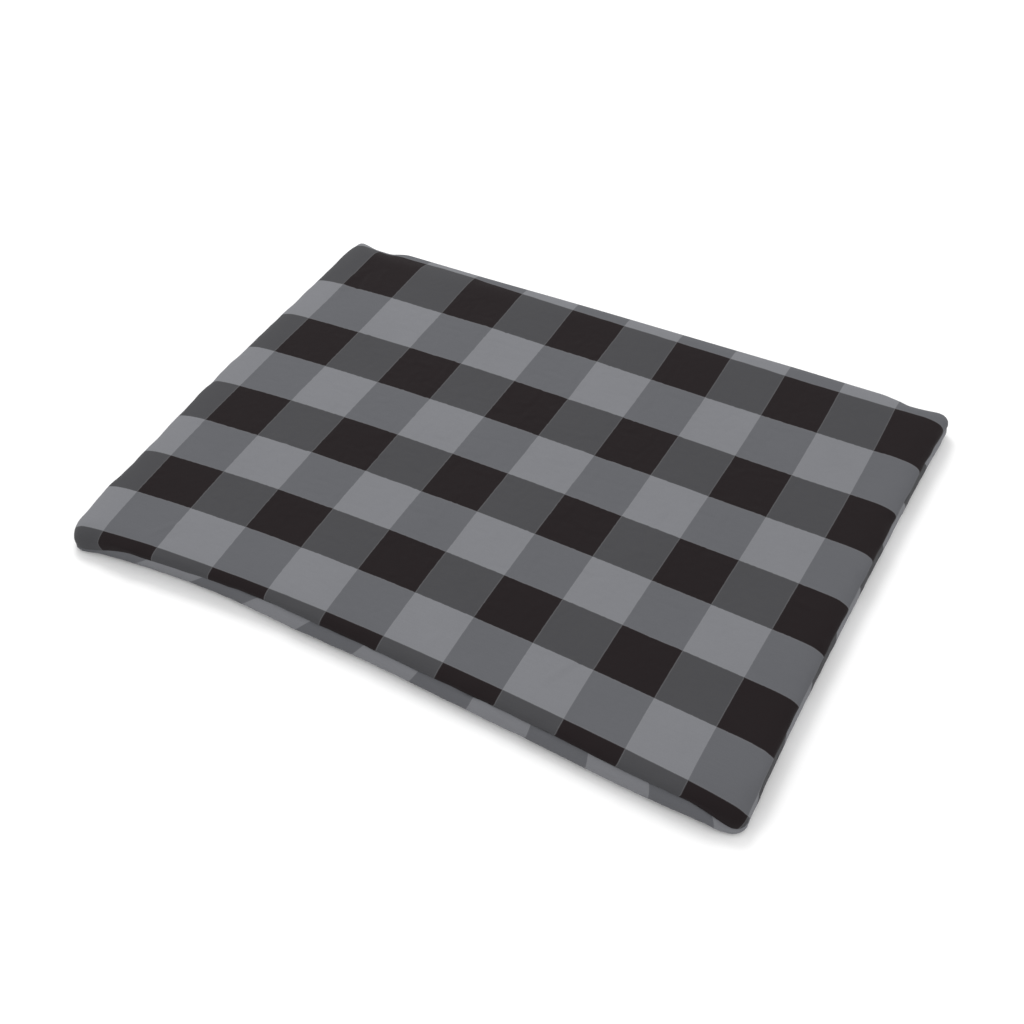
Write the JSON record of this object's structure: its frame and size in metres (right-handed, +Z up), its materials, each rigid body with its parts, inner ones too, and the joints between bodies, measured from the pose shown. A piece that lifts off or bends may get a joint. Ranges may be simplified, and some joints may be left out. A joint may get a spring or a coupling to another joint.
{
  "type": "pet cushion bed",
  "caption": "Flat rectangular pet cushion: a zip-off cover of two printed fabric panels over a soft filled insert, with a sliding zip on its rear side.",
  "frame": {"origin": "middle of the footprint, on the surface that the bed lies on", "axes": "+X along the long side, +Y towards the rear long side that holds the zip, +Z up"},
  "size_m": [1.0146, 0.7599, 0.046],
  "materials": {
    "cover_fabric": "matte",
    "insert_fabric": "matte",
    "filling": "matte",
    "dark_thread": "matte",
    "white_thread": "matte",
    "zip_tape": "matte",
    "zip_coil": "satin",
    "zip_metal": "satin",
    "label": "satin"
  },
  "bodies": {
    "mat": {"cover_top_panel": "cover_fabric", "cover_bottom_panel": "cover_fabric", "cover_seam_thread": "dark_thread", "insert_top_panel": "insert_fabric", "insert_bottom_panel": "insert_fabric", "insert_seam_thread": "white_thread", "fibre_filling": "filling", "zip_tape_upper": "zip_tape", "zip_tape_lower": "zip_tape", "zip_coil_upper": "zip_coil", "zip_coil_lower": "zip_coil", "zip_stitching_upper": "dark_thread", "zip_stitching_lower": "dark_thread", "zip_top_stops": "zip_metal", "zip_bottom_stop": "zip_metal", "care_label": "label"},
    "slider": {"zip_slider": "zip_metal"},
    "pull_tab": {"zip_pull_tab": "zip_metal"}
  },
  "joints": [
    {"name": "zip_travel", "type": "slide", "parent": "mat", "child": "slider", "axis": [-1, 0, 0], "range_m": [0, 0.738]},
    {"name": "tab_swing", "type": "hinge", "parent": "slider", "child": "pull_tab", "pos_m": [0.369, 0.37805, 0.028], "axis": [0, 0, -1], "range_deg": [0, 178]}
  ]
}
